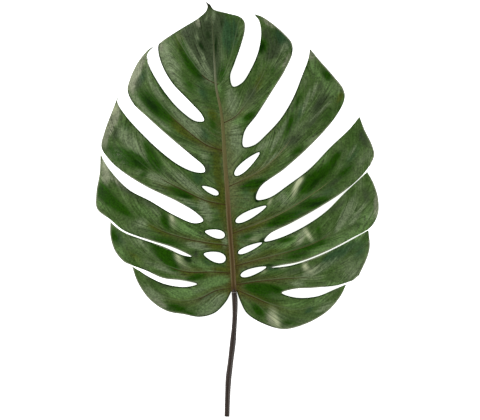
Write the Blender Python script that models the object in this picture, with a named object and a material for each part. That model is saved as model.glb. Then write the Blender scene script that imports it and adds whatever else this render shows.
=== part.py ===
# Monstera leaf: one cut leaf that lies face up, on two of its side lobes and on the end of its stalk.
# Lengths are in millimetres from the joint of blade and stalk, with +Y towards the leaf's tip and +Z up.
# They become metres where the meshes are made.
import math

import bmesh
import bpy
import numpy as np
from mathutils import Vector
from mathutils.geometry import delaunay_2d_cdt

MM = 0.001
JOINT_AT = (-3.88, -98.4)      # the joint's place from the middle of the leaf's box

BLADE_THICKNESS = 0.9
MARGIN_STEP = 6.0              # longest edge along the margin
VEIN_STEP = 13.0               # longest edge along a vein
GRID_STEP = 9.5                # spacing of the points inside the blade
CLEAR_OF_LINES = 0.55          # a grid point keeps this share of the spacing from every line

CROWN_AT_JOINT = 14.6          # height of the upper face along the midrib, before the ridge
CROWN_SWELL = 6.0
CROWN_MIDDLE_Y = 150.0
CROWN_REACH = 110.0
TIP_DROP = 6.5
TIP_DROP_FROM_Y = 255.0
WING_RISE = 3.6                # the blade rises from the midrib before it falls to the margin
WING_RISE_WIDTH = 15.0
FALL_LIMIT = 1.15              # the blade falls no further beyond this share of its reach
LOBE_ARCH = 2.0                # fall from a lobe's lateral vein to its side margins
LOBE_TWIST = 0.9               # a lobe's lower margin lies higher than its upper one
LOBE_HALF_WIDTH = 24.0
LOBE_LIMIT = 1.3               # beyond this share of the half width the arch falls no further
LOBE_WAVE = 0.7                # ripple of the lobes' side margins
WAVE_LENGTH = 62.0
WAVE_SHIFT = 1.9               # turn of the ripple from one lobe to the next
LOBE_BLEND = 4.0
LOBE_RELIEF_FROM = 10.0        # relief of the lobes starts this far from the midrib
LOBE_RELIEF_FULL = 55.0

MIDRIB_HALF_WIDTH = (3.1, 0.9)     # at the joint and at the tip
MIDRIB_RIDGE = (1.1, 0.3)          # raised above the blade
MIDRIB_KEEL = (3.9, 0.6)           # raised below the blade
MIDRIB_LENGTH = 352.0
LATERAL_HALF_WIDTH = (1.9, 1.2)
LATERAL_KEEL = (1.5, 0.5)
LATERAL_LENGTH = 200.0
MIDRIB_CLEAR = (0.0, 2.5)          # a vein's lines keep this far from the midrib and from the margin
LATERAL_CLEAR = (5.0, 5.0)

# The margin, in runs from one lobe's pointed tip to the next, from the drip tip down to the joint.
LEFT_MARGIN = [
    [(-35.5, 348), (-32, 342.5), (-33, 337), (-42, 328), (-65, 314), (-85, 301), (-90.5, 296),
     (-91, 288), (-87, 272.5), (-74.5, 250), (-53, 227), (-38.5, 211), (-36, 204), (-45.5, 203.5),
     (-63.5, 216), (-81.5, 236.5), (-97, 260.5), (-104, 276), (-104, 284.5), (-97, 294)],
    [(-97, 294), (-104.5, 288.5), (-116.5, 273), (-125.5, 253), (-128, 241), (-121, 225),
     (-104.5, 209), (-79, 186), (-50.5, 162), (-36, 149), (-35, 143), (-45.5, 142.5), (-65, 150.5),
     (-89, 168.5), (-113, 191.5), (-132, 213), (-140, 227), (-138.5, 236.5)],
    [(-138.5, 236.5), (-145, 219.5), (-155.5, 192), (-159.5, 173), (-151, 159), (-135.5, 144.5),
     (-105.5, 125.5), (-67, 107), (-45.5, 94), (-37, 84.5), (-47, 81.5), (-73, 92), (-101, 108.5),
     (-125, 121), (-143, 138), (-156.5, 156), (-160.5, 165)],
    [(-160.5, 165), (-161.5, 141.5), (-165.5, 117.5), (-164.5, 98.5), (-149, 86), (-132, 72.5),
     (-101, 61), (-71, 51.5), (-51, 41.5), (-61, 43), (-84, 53), (-113, 63), (-134.5, 71.5),
     (-148.5, 83)],
    [(-148.5, 83), (-148.5, 66), (-143, 48), (-132, 35), (-123, 31), (-105.5, 24.5), (-85, 15.5),
     (-62.5, 13), (-44.5, 8.5), (-59, 5), (-83, 8.5), (-103, 17.5), (-115, 25), (-122.5, 29.5)],
    [(-122.5, 29.5), (-116, 11), (-102, -9.5), (-81.5, -24), (-60, -28), (-41, -31), (-23, -26),
     (-9.5, -12.5), (-3, -0.5)],
]
RIGHT_MARGIN = [
    [(-35.5, 348), (-29, 344), (-24.5, 338), (-7, 333), (7, 329), (12.5, 323), (13, 313),
     (8.5, 295), (1, 273.5), (-4.5, 257), (-1, 245), (9.5, 249.5), (20.5, 266.5), (29, 287),
     (32.5, 309.5), (30, 325), (24, 332.5)],
    [(24, 332.5), (32.5, 330), (45.5, 321.5), (61, 308), (69.5, 297.5), (70, 285.5), (61, 264.5),
     (46, 240), (27.5, 211), (12.5, 190), (11.5, 173), (24, 175), (39.5, 188.5), (56.5, 207.5),
     (71, 232), (81.5, 258), (89.5, 279.5), (91.5, 291)],
    [(91.5, 291), (102, 278), (119, 259), (131.5, 242.5), (133, 231), (122, 209), (95, 178),
     (60.5, 146.5), (31, 124), (27, 110), (42, 112), (66, 128), (91, 147), (115, 172),
     (139, 195), (151, 209.5)],
    [(151, 209.5), (156.5, 194.5), (165.5, 176), (168.5, 163), (159, 145), (137, 123.5),
     (105, 102), (68.5, 81.5), (42, 68), (36.5, 60), (55, 64), (86.5, 79), (111.5, 96.5),
     (134, 119), (160, 143)],
    [(160, 143), (167.5, 129.5), (173, 111.5), (173, 92.5), (164.5, 77), (140.5, 63),
     (110.5, 47.5), (78, 35), (56.5, 31), (45, 28.5), (66, 30.3), (91, 37.9), (117.5, 49.2),
     (144, 63.2), (161.5, 73)],
    [(161.5, 73), (163, 51.5), (156, 30.5), (147, 16), (127, 7.5), (97, 4), (72, 2.5),
     (57.5, -2), (73, -7.5), (98.5, -6.5), (121, 2), (135, 8)],
    [(135, 8), (128.5, -5.5), (114, -23), (90, -38), (61, -46), (36, -39.5), (15.5, -26.5),
     (7.5, -12), (3, -0.5)],
]

# Holes beside the midrib: inner end, outer end and width.
HOLES = [
    ((-18.5, 116), (-38, 125.5), 6.6),
    ((-11, 66.5), (-34.5, 71.5), 9.6),
    ((-10, 38), (-36, 44.5), 12),
    ((1, 139), (30.5, 166), 9.6),
    ((2, 83), (38.5, 102), 9),
    ((5, 45.5), (33.5, 58), 6.6),
    ((8, 18.5), (38.5, 29), 7.8),
]
HOLE_SIDES = 18
HOLE_TAPER = 0.35              # a hole is narrower towards its outer end

MIDRIB = [(0, -0.5), (-2, 35), (-4, 61), (-6, 87.5), (-9, 121), (-12, 155), (-13.5, 183.5),
          (-16, 213.5), (-21, 245), (-23.5, 275), (-25, 303.5), (-27.5, 327.5), (-35.5, 348)]

# Lateral veins, one for each lobe, from the midrib out to the lobe's tip.
LEFT_LATERALS = [
    [(-22.5, 248.5), (-33.5, 252), (-50.5, 265), (-67, 283), (-86.5, 294.5)],
    [(-13.5, 168), (-32.5, 174.5), (-56.5, 192.5), (-79, 213), (-98.5, 239), (-106, 263), (-102, 285.5)],
    [(-7.5, 103), (-32.5, 108), (-60, 120.5), (-92.5, 138), (-121, 161), (-138, 186), (-141.5, 219.5)],
    [(-3.5, 54.5), (-30, 57.5), (-62.5, 64), (-95, 76), (-126, 98.5), (-149, 129.5), (-158.5, 153.5)],
    [(-1.5, 21.5), (-26.5, 23), (-56.5, 23), (-89, 33), (-117.5, 50.5), (-138, 72)],
    [(-0.5, 4), (-21.5, 0.5), (-43, -9.5), (-69.5, -12), (-97, -1), (-115, 21.5)],
]
RIGHT_LATERALS = [
    [(-21, 246), (-11, 259), (-2.5, 282), (2.5, 303.5), (7, 323)],
    [(-15, 200), (2.5, 209.5), (21.5, 234), (38.5, 265), (44.5, 295), (31, 326.5)],
    [(-9, 124), (12, 133.5), (38.5, 149.5), (63.5, 175.5), (83, 211), (95, 249.5), (93, 283)],
    [(-4.5, 68), (21.5, 78), (55, 92.5), (89, 113), (121, 138), (144, 170.5), (151.5, 203)],
    [(-1.5, 29.5), (27.5, 37), (63.5, 46.5), (101, 60), (133, 81), (153.5, 109), (160, 137)],
    [(-0.5, 7), (27.5, 11.5), (63.5, 15), (95, 18), (123.5, 32), (146.5, 53.5), (161, 68.5)],
    [(1, 2.5), (21.5, -6.5), (49, -18), (79, -23), (108, -14), (132, 5)],
]

# How far each half reaches from the midrib and how high its margin lies: y, reach, height.
LEFT_SPAN = [(-60, 45, 6), (-46, 50, 6), (-28, 68, 5), (-10, 100, 4.5), (35, 131, 4.5), (66, 145, 5),
             (110, 158, 5), (173, 147, 2.4), (219, 131, 4), (241, 115, 4.6), (273, 94, 4.4),
             (289, 80, 4.6), (300, 66, 5), (314, 45, 6), (348, 16, 7.5)]
RIGHT_SPAN = [(-60, 45, 6), (-46, 66, 5), (-38, 90, 4.5), (-23, 114, 4.5), (-5, 129, 4.5), (31, 158, 4.5),
              (52, 166, 5), (102, 181, 5.5), (163, 179, 4.6), (194, 171, 3.6), (231, 152, 2.4),
              (260, 141, 3.2), (278, 126, 4), (298, 100, 5), (308, 88, 6), (322, 72, 7),
              (333, 42, 7.5), (348, 16, 7.5)]

# The blade lies on the ground at these spots, flattened a little round them.
RESTING_SPOTS = [(-148, 172), (120, 229)]
REST_DIP = 4.4
REST_REACH = 21.0

# The stalk's middle line, with its half width: x, y, z, radius.
STALK = [(0, -1.05, 13.2, 3.0), (0.9, -8.4, 12.9, 3.4), (1.2, -24, 11.6, 3.1), (0.5, -40.3, 9.7, 3.1),
         (-1.3, -61.8, 7.2, 3.7), (-3.8, -82.8, 4.9, 3.4), (-6.5, -104.4, 3.4, 3.6),
         (-7.7, -126, 2.8, 3.2), (-8.4, -151.2, 2.7, 3.1)]
STALK_SIDES = 14
STALK_STEP = 6.0

MERGE_DISTANCE = 1e-4          # points of the flat net that are nearer than this become one
SHARP_ANGLE = math.radians(40)

BLADE_FINISH = {"colour": (0.045, 0.092, 0.028, 1), "roughness": 0.42}
STALK_FINISH = {"colour": (0.07, 0.048, 0.036, 1), "roughness": 0.6}


def spline(points, step):
    """Centripetal Catmull-Rom curve through the points, with edges no longer than the step."""
    points = np.array(points, float)
    ends = (2 * points[0] - points[1], 2 * points[-1] - points[-2])
    knots = np.vstack([ends[0], points, ends[1]])
    curve = []
    for k in range(1, len(knots) - 2):
        p = knots[k - 1:k + 3]
        gaps = np.maximum(np.sqrt(np.linalg.norm(np.diff(p[:, :2], axis=0), axis=1)), 1e-3)
        t = np.concatenate([[0], np.cumsum(gaps)])
        count = max(2, math.ceil(np.linalg.norm(p[2, :2] - p[1, :2]) / step))
        for s in np.linspace(t[1], t[2], count, endpoint=False):
            a = [((t[i + 1] - s) * p[i] + (s - t[i]) * p[i + 1]) / (t[i + 1] - t[i]) for i in range(3)]
            b = [((t[i + 2] - s) * a[i] + (s - t[i]) * a[i + 1]) / (t[i + 2] - t[i]) for i in range(2)]
            curve.append(((t[2] - s) * b[0] + (s - t[1]) * b[1]) / (t[2] - t[1]))
    curve.append(points[-1])
    return np.array(curve)


def margin():
    """The whole outline, down the left half from the drip tip and up the right half."""
    left = [point for run in LEFT_MARGIN for point in spline(run, MARGIN_STEP)[:-1]]
    right = [point for run in RIGHT_MARGIN for point in spline(run, MARGIN_STEP)[:-1]]
    return np.array(left + [LEFT_MARGIN[-1][-1], RIGHT_MARGIN[-1][-1]] + right[:0:-1])


def hole(inner, outer, width):
    """One hole's rim, an oval that narrows towards its outer end."""
    inner, outer = np.array(inner, float), np.array(outer, float)
    half = (outer - inner) / 2
    across = np.array([-half[1], half[0]]) / np.linalg.norm(half)
    turn = np.linspace(0, 2 * math.pi, HOLE_SIDES, endpoint=False)
    along = -np.cos(turn)
    wide = np.sin(turn) * width / 2 * (1 - HOLE_TAPER * along)
    return (inner + outer) / 2 + along[:, None] * half + wide[:, None] * across


def inside(points, rim):
    """Which points lie inside the closed rim."""
    a, b = rim, np.roll(rim, -1, axis=0)
    y = points[:, 1][:, None]
    crosses = (a[:, 1] > y) != (b[:, 1] > y)
    rise = np.where(b[:, 1] == a[:, 1], 1, b[:, 1] - a[:, 1])
    at_x = a[:, 0] + (y - a[:, 1]) * (b[:, 0] - a[:, 0]) / rise
    return (crosses & (points[:, 0][:, None] < at_x)).sum(axis=1) % 2 == 1


def from_line(points, line):
    """Distance of each point from the line, positive on its left, and how far along its nearest place is."""
    a, ab = line[:-1], np.diff(line, axis=0)
    length = np.linalg.norm(ab, axis=1)
    to = points[:, None, :] - a
    share = np.clip((to * ab).sum(axis=2) / length ** 2, 0, 1)
    away = np.linalg.norm(to - share[..., None] * ab, axis=2)
    nearest = away.argmin(axis=1)
    rows = np.arange(len(points))
    turn = ab[nearest, 0] * to[rows, nearest, 1] - ab[nearest, 1] * to[rows, nearest, 0]
    along = np.concatenate([[0], np.cumsum(length)])[nearest] + share[rows, nearest] * length[nearest]
    return away[rows, nearest] * np.where(turn < 0, -1, 1), along


def smooth_step(value):
    value = np.clip(value, 0, 1)
    return value * value * (3 - 2 * value)


def from_to(ends, share):
    """A value that runs from the first end to the last as the share runs from 0 to 1."""
    return ends[0] + (ends[1] - ends[0]) * np.clip(share, 0, 1)


def span(table, y):
    """Reach and margin height of one half at y, read from a smooth curve through the table."""
    curve = spline(table, GRID_STEP / 2)
    return np.interp(y, curve[:, 0], curve[:, 1]), np.interp(y, curve[:, 0], curve[:, 2])


def lobe_relief(points):
    """Each lobe is arched across its lateral vein and a little twisted."""
    weight_sum, relief_sum = 0, 0
    for laterals, tip_side in ((LEFT_LATERALS, -1), (RIGHT_LATERALS, 1)):
        for order, lateral in enumerate(laterals):
            away, along = from_line(points, spline(lateral, VEIN_STEP))
            weight = np.exp(-np.abs(away) / LOBE_BLEND)
            share = np.clip(tip_side * away / LOBE_HALF_WIDTH, -LOBE_LIMIT, LOBE_LIMIT)
            ripple = LOBE_WAVE * np.sin(2 * math.pi * along / WAVE_LENGTH + WAVE_SHIFT * order)
            relief = (ripple - LOBE_ARCH) * share ** 2 - LOBE_TWIST * share
            weight_sum = weight_sum + weight
            relief_sum = relief_sum + weight * relief
    return relief_sum / np.maximum(weight_sum, 1e-30)


def upper_height(points):
    """Height of the blade's upper face: high along the midrib, arched lobes, margins near the ground."""
    x, y = points[:, 0], points[:, 1]
    midrib = spline(MIDRIB, VEIN_STEP)
    out = x - np.interp(y, midrib[:, 1], midrib[:, 0])
    crown = CROWN_AT_JOINT + CROWN_SWELL * np.exp(-((y - CROWN_MIDDLE_Y) / CROWN_REACH) ** 2)
    crown -= CROWN_SWELL * math.exp(-(CROWN_MIDDLE_Y / CROWN_REACH) ** 2)
    crown -= TIP_DROP * smooth_step((y - TIP_DROP_FROM_Y) / (MIDRIB_LENGTH - TIP_DROP_FROM_Y))
    crown += WING_RISE * (1 - np.exp(-(out / WING_RISE_WIDTH) ** 2))
    left, right = span(LEFT_SPAN, y), span(RIGHT_SPAN, y)
    reach = np.where(out < 0, left[0], right[0])
    edge = np.where(out < 0, left[1], right[1])
    fall = np.minimum(np.abs(out) / reach, FALL_LIMIT) ** 2
    fade = smooth_step((np.abs(out) - LOBE_RELIEF_FROM) / (LOBE_RELIEF_FULL - LOBE_RELIEF_FROM))
    away, along = from_line(points, midrib)
    share = along / MIDRIB_LENGTH
    ridge = np.maximum(1 - (away / from_to(MIDRIB_HALF_WIDTH, share)) ** 2, 0)
    height = crown * (1 - fall) + edge * fall + fade * lobe_relief(points)
    height += from_to(MIDRIB_RIDGE, share) * ridge
    for spot in RESTING_SPOTS:
        height -= REST_DIP * np.exp(-((points - np.array(spot)) ** 2).sum(axis=1) / REST_REACH ** 2)
    return height


def thickness(points):
    """Thickness of the blade, with the midrib's keel and the laterals' ribs on the underside."""
    away, along = from_line(points, spline(MIDRIB, VEIN_STEP))
    share = along / MIDRIB_LENGTH
    keel = from_to(MIDRIB_KEEL, share) + from_to(MIDRIB_RIDGE, share)
    total = keel * np.maximum(1 - (away / from_to(MIDRIB_HALF_WIDTH, share)) ** 2, 0)
    for lateral in LEFT_LATERALS + RIGHT_LATERALS:
        away, along = from_line(points, spline(lateral, VEIN_STEP))
        share = along / LATERAL_LENGTH
        rib = np.maximum(1 - (away / from_to(LATERAL_HALF_WIDTH, share)) ** 2, 0)
        total = np.maximum(total, from_to(LATERAL_KEEL, share) * rib)
    return BLADE_THICKNESS + total


def vein_lines():
    """Middle and side lines of every vein, which the blade's triangles follow."""
    rim = margin()
    closed_rim = np.vstack([rim, rim[:1]])
    midrib = spline(MIDRIB, VEIN_STEP)
    veins = [(midrib, MIDRIB_HALF_WIDTH, MIDRIB_LENGTH, MIDRIB_CLEAR)]
    for lateral in LEFT_LATERALS + RIGHT_LATERALS:
        veins.append((spline(lateral, VEIN_STEP), LATERAL_HALF_WIDTH, LATERAL_LENGTH, LATERAL_CLEAR))
    lines = []
    for line, half_width, length, (from_midrib, from_rim) in veins:
        direction = np.gradient(line, axis=0)
        direction /= np.linalg.norm(direction, axis=1)[:, None]
        across = np.column_stack([-direction[:, 1], direction[:, 0]])
        along = np.concatenate([[0], np.cumsum(np.linalg.norm(np.diff(line, axis=0), axis=1))])
        for side in (-1, 0, 1):
            strand = line + side * from_to(half_width, along / length)[:, None] * across
            keep = inside(strand, rim) & (np.abs(from_line(strand, closed_rim)[0]) > from_rim)
            keep &= np.abs(from_line(strand, midrib)[0]) >= from_midrib
            lines.append(strand[keep])
    return lines


def grid_points(rim, holes):
    """A triangular grid of points inside the blade and outside its holes."""
    low, high = rim.min(axis=0), rim.max(axis=0)
    rows = []
    for row, y in enumerate(np.arange(low[1], high[1], GRID_STEP * math.sqrt(0.75))):
        x = np.arange(low[0] + GRID_STEP / 2 * (row % 2), high[0], GRID_STEP)
        rows.append(np.column_stack([x, np.full(len(x), y)]))
    grid = np.vstack(rows)
    grid = grid[inside(grid, rim)]
    for rim_of_hole in holes:
        grid = grid[~inside(grid, rim_of_hole)]
    return grid


def blade_points():
    """Outline, holes, vein lines and grid, as the points and edges of one flat net."""
    rim = margin()
    holes = [hole(*sizes) for sizes in HOLES]
    chains = [(rim, True)] + [(each, True) for each in holes] + [(each, False) for each in vein_lines()]
    points, edges = [], []
    for chain, closed in chains:
        first = len(points)
        points.extend(chain)
        last = len(points) - 1
        edges.extend((k, k + 1) for k in range(first, last))
        if closed:
            edges.append((last, first))
    points = np.array(points)
    starts, ends = np.array(edges).T
    grid = grid_points(rim, holes)
    a, ab = points[starts], points[ends] - points[starts]
    to = grid[:, None, :] - a
    share = np.clip((to * ab).sum(axis=2) / (ab ** 2).sum(axis=1), 0, 1)
    gap = np.linalg.norm(to - share[..., None] * ab, axis=2).min(axis=1)
    grid = grid[gap > CLEAR_OF_LINES * GRID_STEP]
    return np.vstack([points, grid]), edges, rim, holes


def place(points, height):
    """Points in metres in the leaf's frame."""
    flat = (np.asarray(points) + np.array(JOINT_AT)) * MM
    return [Vector((x, y, z * MM)) for (x, y), z in zip(flat, height)]


def blade_net():
    """The flat net split into triangles, without the triangles outside the blade."""
    points, edges, rim, holes = blade_points()
    places = [Vector(point) for point in points]
    corners, _, faces, *_ = delaunay_2d_cdt(places, edges, [], 0, MERGE_DISTANCE, False)
    corners = np.array([tuple(point) for point in corners])
    middle = corners[np.array(faces)].mean(axis=1)
    keep = inside(middle, rim)
    for rim_of_hole in holes:
        keep &= ~inside(middle, rim_of_hole)
    return corners, [face for face, kept in zip(faces, keep) if kept]


def make_object(name, net, collection, finish):
    """The node's own mesh and material."""
    mesh = bpy.data.meshes.new(name)
    net.to_mesh(mesh)
    net.free()
    material = bpy.data.materials.new(name + "_material")
    material.use_nodes = True
    shader = material.node_tree.nodes["Principled BSDF"]
    shader.inputs["Base Color"].default_value = finish["colour"]
    shader.inputs["Roughness"].default_value = finish["roughness"]
    shader.inputs["Metallic"].default_value = 0
    mesh.materials.append(material)
    mesh.shade_smooth()
    mesh.set_sharp_from_angle(angle=SHARP_ANGLE)
    collection.objects.link(bpy.data.objects.new(name, mesh))


def make_blade(collection):
    """The blade: the net lifted to its height and extruded down by its thickness, flat where it lies."""
    corners, faces = blade_net()
    upper = upper_height(corners)
    lower = np.maximum(upper - thickness(corners), 0)
    upper = np.maximum(upper, lower + BLADE_THICKNESS)
    net = bmesh.new()
    vertices = [net.verts.new(point) for point in place(corners, upper)]
    for face in faces:
        net.faces.new([vertices[k] for k in face])
    index = {vertex: k for k, vertex in enumerate(vertices)}
    below = {vertex.co.to_tuple(): lower[k] * MM for vertex, k in index.items()}
    extruded = bmesh.ops.extrude_face_region(net, geom=net.faces[:])["geom"]
    for vertex in extruded:
        if isinstance(vertex, bmesh.types.BMVert):
            vertex.co.z = below[vertex.co.to_tuple()]
    loose = [vertex for vertex in net.verts if not vertex.link_faces]
    bmesh.ops.delete(net, geom=loose, context="VERTS")
    bmesh.ops.triangulate(net, faces=[face for face in net.faces if len(face.verts) > 3])
    bmesh.ops.recalc_face_normals(net, faces=net.faces)
    make_object("leaf_blade", net, collection, BLADE_FINISH)


def make_stalk(collection):
    """The stalk: rings along its middle line, flat below where it lies on the ground."""
    line = spline(STALK, STALK_STEP)
    rings = []
    net = bmesh.new()
    direction = np.gradient(line[:, :3], axis=0)
    direction /= np.linalg.norm(direction, axis=1)[:, None]
    direction[0] = direction[-1] = (0, -1, 0)
    for (x, y, z, radius), ahead in zip(line, direction):
        across = np.cross(ahead, (0, 0, 1))
        across /= np.linalg.norm(across)
        up = np.cross(across, ahead)
        ring = []
        for side in range(STALK_SIDES):
            turn = 2 * math.pi * side / STALK_SIDES
            corner = np.array((x, y, z)) + radius * (math.cos(turn) * across + math.sin(turn) * up)
            ring.append(net.verts.new(place([corner[:2]], [max(corner[2], 0)])[0]))
        rings.append(ring)
    for one, two in zip(rings, rings[1:]):
        for side in range(STALK_SIDES):
            after = (side + 1) % STALK_SIDES
            net.faces.new((one[side], one[after], two[after], two[side]))
    net.faces.new(rings[0])
    net.faces.new(rings[-1])
    bmesh.ops.triangulate(net, faces=net.faces[:])
    bmesh.ops.recalc_face_normals(net, faces=net.faces)
    make_object("stalk", net, collection, STALK_FINISH)


def main():
    for thing in list(bpy.data.objects):
        bpy.data.objects.remove(thing, do_unlink=True)
    collection = bpy.data.collections.new("monstera_leaf")
    bpy.context.scene.collection.children.link(collection)
    make_blade(collection)
    make_stalk(collection)


main()
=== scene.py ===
import math

import bpy
import numpy as np
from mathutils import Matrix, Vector
from mathutils.kdtree import KDTree


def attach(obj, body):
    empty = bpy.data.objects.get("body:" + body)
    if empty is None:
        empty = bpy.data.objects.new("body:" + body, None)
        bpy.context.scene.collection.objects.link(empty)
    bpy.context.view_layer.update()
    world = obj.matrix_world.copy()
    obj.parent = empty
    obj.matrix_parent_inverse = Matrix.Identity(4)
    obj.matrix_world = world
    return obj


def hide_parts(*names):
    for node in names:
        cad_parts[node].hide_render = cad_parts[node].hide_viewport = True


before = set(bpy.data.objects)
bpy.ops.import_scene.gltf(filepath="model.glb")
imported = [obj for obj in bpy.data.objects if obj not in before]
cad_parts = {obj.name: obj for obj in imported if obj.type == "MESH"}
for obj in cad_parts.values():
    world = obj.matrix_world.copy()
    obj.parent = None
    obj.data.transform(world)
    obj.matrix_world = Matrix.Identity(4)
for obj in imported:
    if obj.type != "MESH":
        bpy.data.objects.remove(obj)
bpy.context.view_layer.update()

# Monstera leaf, lying face up on a white table and seen from straight above.
# Shapes are in millimetres from the joint of blade and stalk, +Y towards the drip tip.
mm = 0.001
jointAt = (-3.88, -98.4)  # the joint, from the middle of the leaf's box

# Outline of each half, in runs from one lobe's pointed tip to the next.
leftMargin = [
    [(-35.5, 348), (-32, 342.5), (-33, 337), (-42, 328), (-65, 314), (-85, 301), (-90.5, 296),
     (-91, 288), (-87, 272.5), (-74.5, 250), (-53, 227), (-38.5, 211), (-36, 204), (-45.5, 203.5),
     (-63.5, 216), (-81.5, 236.5), (-97, 260.5), (-104, 276), (-104, 284.5), (-97, 294)],
    [(-97, 294), (-104.5, 288.5), (-116.5, 273), (-125.5, 253), (-128, 241), (-121, 225),
     (-104.5, 209), (-79, 186), (-50.5, 162), (-36, 149), (-35, 143), (-45.5, 142.5), (-65, 150.5),
     (-89, 168.5), (-113, 191.5), (-132, 213), (-140, 227), (-138.5, 236.5)],
    [(-138.5, 236.5), (-145, 219.5), (-155.5, 192), (-159.5, 173), (-151, 159), (-135.5, 144.5),
     (-105.5, 125.5), (-67, 107), (-45.5, 94), (-37, 84.5), (-47, 81.5), (-73, 92), (-101, 108.5),
     (-125, 121), (-143, 138), (-156.5, 156), (-160.5, 165)],
    [(-160.5, 165), (-161.5, 141.5), (-165.5, 117.5), (-164.5, 98.5), (-149, 86), (-132, 72.5),
     (-101, 61), (-71, 51.5), (-51, 41.5), (-61, 43), (-84, 53), (-113, 63), (-134.5, 71.5),
     (-148.5, 83)],
    [(-148.5, 83), (-148.5, 66), (-143, 48), (-132, 35), (-123, 31), (-105.5, 24.5), (-85, 15.5),
     (-62.5, 13), (-44.5, 8.5), (-59, 5), (-83, 8.5), (-103, 17.5), (-115, 25), (-122.5, 29.5)],
    [(-122.5, 29.5), (-116, 11), (-102, -9.5), (-81.5, -24), (-60, -28), (-41, -31), (-23, -26),
     (-9.5, -12.5), (-3, -0.5)],
]
rightMargin = [
    [(-35.5, 348), (-29, 344), (-24.5, 338), (-7, 333), (7, 329), (12.5, 323), (13, 313),
     (8.5, 295), (1, 273.5), (-4.5, 257), (-1, 245), (9.5, 249.5), (20.5, 266.5), (29, 287),
     (32.5, 309.5), (30, 325), (24, 332.5)],
    [(24, 332.5), (32.5, 330), (45.5, 321.5), (61, 308), (69.5, 297.5), (70, 285.5), (61, 264.5),
     (46, 240), (27.5, 211), (12.5, 190), (11.5, 173), (24, 175), (39.5, 188.5), (56.5, 207.5),
     (71, 232), (81.5, 258), (89.5, 279.5), (91.5, 291)],
    [(91.5, 291), (102, 278), (119, 259), (131.5, 242.5), (133, 231), (122, 209), (95, 178),
     (60.5, 146.5), (31, 124), (27, 110), (42, 112), (66, 128), (91, 147), (115, 172),
     (139, 195), (151, 209.5)],
    [(151, 209.5), (156.5, 194.5), (165.5, 176), (168.5, 163), (159, 145), (137, 123.5),
     (105, 102), (68.5, 81.5), (42, 68), (36.5, 60), (55, 64), (86.5, 79), (111.5, 96.5),
     (134, 119), (160, 143)],
    [(160, 143), (167.5, 129.5), (173, 111.5), (173, 92.5), (164.5, 77), (140.5, 63),
     (110.5, 47.5), (78, 35), (56.5, 31), (45, 28.5), (66, 30.3), (91, 37.9), (117.5, 49.2),
     (144, 63.2), (161.5, 73)],
    [(161.5, 73), (163, 51.5), (156, 30.5), (147, 16), (127, 7.5), (97, 4), (72, 2.5),
     (57.5, -2), (73, -7.5), (98.5, -6.5), (121, 2), (135, 8)],
    [(135, 8), (128.5, -5.5), (114, -23), (90, -38), (61, -46), (36, -39.5), (15.5, -26.5),
     (7.5, -12), (3, -0.5)],
]
# Holes beside the midrib: inner end, outer end, width.
holes = [
    ((-18.5, 116), (-38, 125.5), 6.6),
    ((-11, 66.5), (-34.5, 71.5), 9.6),
    ((-10, 38), (-36, 44.5), 12),
    ((1, 139), (30.5, 166), 9.6),
    ((2, 83), (38.5, 102), 9),
    ((5, 45.5), (33.5, 58), 6.6),
    ((8, 18.5), (38.5, 29), 7.8),
]
midribLine = [(0, -0.5), (-2, 35), (-4, 61), (-6, 87.5), (-8.1, 121), (-10.7, 155), (-12.4, 183.5),
              (-15.2, 213.5), (-21.4, 245), (-23.4, 275), (-25, 303.5), (-27.5, 327.5), (-35.5, 348)]
# Lateral veins, one for each lobe, from the midrib out to the lobe's tip.
leftLaterals = [
    [(-22.5, 248.5), (-33.5, 254.5), (-45, 266), (-57, 283), (-67, 299), (-72, 309)],
    [(-13.5, 168), (-32.5, 174.5), (-56.5, 192.5), (-79, 213), (-98.5, 239), (-106, 263), (-102, 285.5)],
    [(-7.5, 103), (-32.5, 108), (-60, 120.5), (-92.5, 138), (-121, 161), (-138, 186), (-141.5, 219.5)],
    [(-3.5, 54.5), (-30, 57.5), (-62.5, 64), (-95, 76), (-126, 98.5), (-149, 129.5), (-158.5, 153.5)],
    [(-1.5, 21.5), (-26.5, 23), (-56.5, 23), (-89, 33), (-117.5, 50.5), (-138, 72)],
    [(-0.5, 4), (-21.5, 0.5), (-43, -9.5), (-69.5, -12), (-97, -1), (-115, 21.5)],
]
rightLaterals = [
    [(-21, 246), (-11, 259), (-2.5, 282), (2.5, 303.5), (7, 323)],
    [(-15, 200), (2.5, 209.5), (21.5, 234), (38.5, 265), (44.5, 295), (31, 326.5)],
    [(-9, 124), (12, 133.5), (38.5, 149.5), (63.5, 175.5), (83, 211), (95, 249.5), (93, 283)],
    [(-4.5, 68), (21.5, 78), (55, 92.5), (89, 113), (121, 138), (144, 170.5), (151.5, 203)],
    [(-1.5, 29.5), (27.5, 37), (63.5, 46.5), (101, 60), (133, 81), (153.5, 109), (160, 137)],
    [(-0.5, 7), (27.5, 11.5), (63.5, 15), (95, 18), (123.5, 32), (146.5, 53.5), (161, 68.5)],
    [(1, 2.5), (21.5, -6.5), (49, -18), (79, -23), (108, -14), (132, 5)],
]
# How far each half reaches from the midrib, and how high its margin lies: y, reach, height.
leftSpan = [(-60, 45, 6), (-46, 50, 6), (-28, 68, 5), (-10, 100, 4.5), (35, 131, 4.5), (66, 145, 5),
            (110, 158, 5), (173, 147, 2.4), (219, 131, 4), (241, 115, 4.6), (273, 94, 4.4),
            (289, 80, 4.6), (300, 66, 5), (314, 45, 6), (348, 16, 7.5)]
rightSpan = [(-60, 45, 6), (-46, 66, 5), (-38, 90, 4.5), (-23, 114, 4.5), (-5, 129, 4.5), (31, 158, 4.5),
             (52, 166, 5), (102, 181, 5.5), (163, 179, 4.6), (194, 171, 3.6), (231, 152, 2.4),
             (260, 141, 3.2), (278, 126, 4), (298, 100, 5), (308, 88, 6), (322, 72, 7),
             (333, 42, 7.5), (348, 16, 7.5)]

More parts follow.
